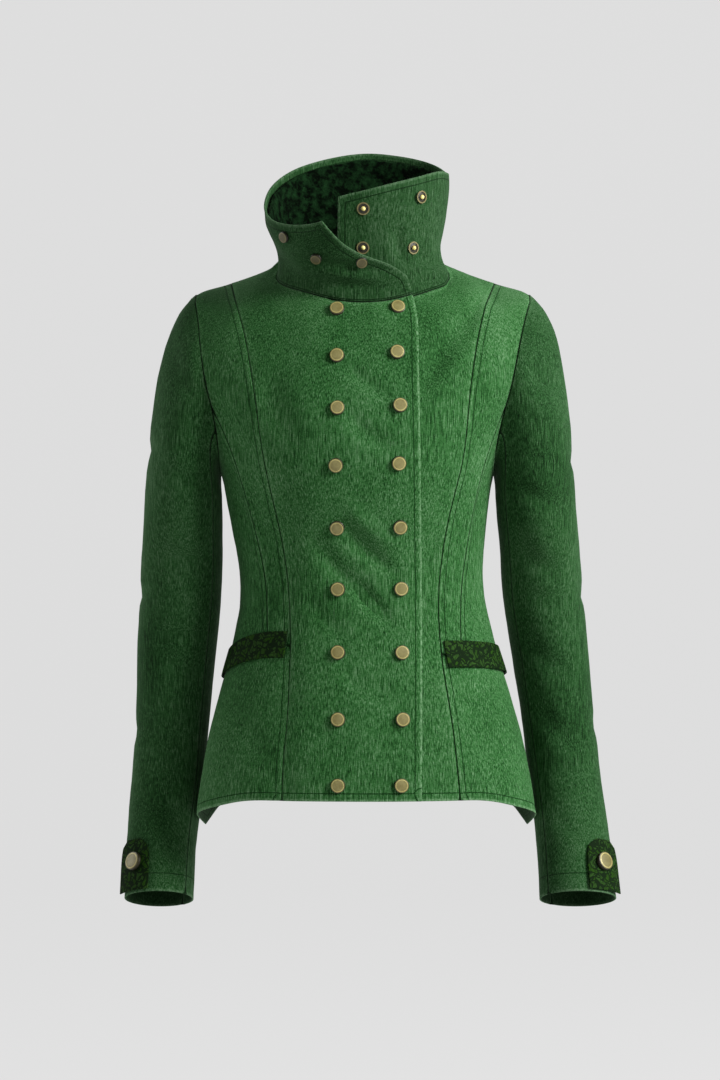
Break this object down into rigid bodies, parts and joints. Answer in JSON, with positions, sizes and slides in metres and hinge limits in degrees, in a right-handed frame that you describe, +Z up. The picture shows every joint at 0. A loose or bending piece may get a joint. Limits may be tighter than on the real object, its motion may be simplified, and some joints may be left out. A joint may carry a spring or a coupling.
{
  "type": "jacket",
  "caption": "Close-fitting double-breasted jacket in green denim with a high lined funnel collar, snap front, brocade pocket welts and brocade cuff tabs, in its worn shape.",
  "frame": {"origin": "middle of the neck, level with the inner ends of the shoulders", "axes": "+Z up the body, -Y the front, +X the wearer's left"},
  "size_m": [0.5387, 0.2686, 0.8273],
  "materials": {
    "green_denim": "mottled green-dyed denim with worn pale edges",
    "pile_lining": "short dark green pile",
    "brocade": "dark green with a woven leaf pattern",
    "antique_brass": "aged, satin"
  },
  "bodies": {
    "root": {"front_left": "green_denim", "front_right": "green_denim", "side_front_left": "green_denim", "side_front_right": "green_denim", "side_left": "green_denim", "side_right": "green_denim", "skirt_left": "green_denim", "skirt_right": "green_denim", "side_back_left": "green_denim", "side_back_right": "green_denim", "back_left": "green_denim", "back_right": "green_denim", "sleeve_top_left": "green_denim", "sleeve_top_right": "green_denim", "sleeve_under_left": "green_denim", "sleeve_under_right": "green_denim", "collar_shell": "green_denim", "collar_lining": "pile_lining", "pocket_welt_left": "brocade", "pocket_welt_right": "brocade", "cuff_tab_left": "brocade", "cuff_tab_right": "brocade", "snap_left_1": "antique_brass", "snap_left_2": "antique_brass", "snap_left_3": "antique_brass", "snap_left_4": "antique_brass", "snap_left_5": "antique_brass", "snap_left_6": "antique_brass", "snap_left_7": "antique_brass", "snap_left_8": "antique_brass", "snap_left_9": "antique_brass", "snap_right_1": "antique_brass", "snap_right_2": "antique_brass", "snap_right_3": "antique_brass", "snap_right_4": "antique_brass", "snap_right_5": "antique_brass", "snap_right_6": "antique_brass", "snap_right_7": "antique_brass", "snap_right_8": "antique_brass", "snap_right_9": "antique_brass", "collar_stud_1": "antique_brass", "collar_stud_2": "antique_brass", "collar_stud_3": "antique_brass", "collar_stud_4": "antique_brass", "collar_cap_1": "antique_brass", "collar_cap_2": "antique_brass", "collar_cap_3": "antique_brass", "cuff_cap_left": "antique_brass", "cuff_cap_right": "antique_brass"}
  },
  "joints": []
}
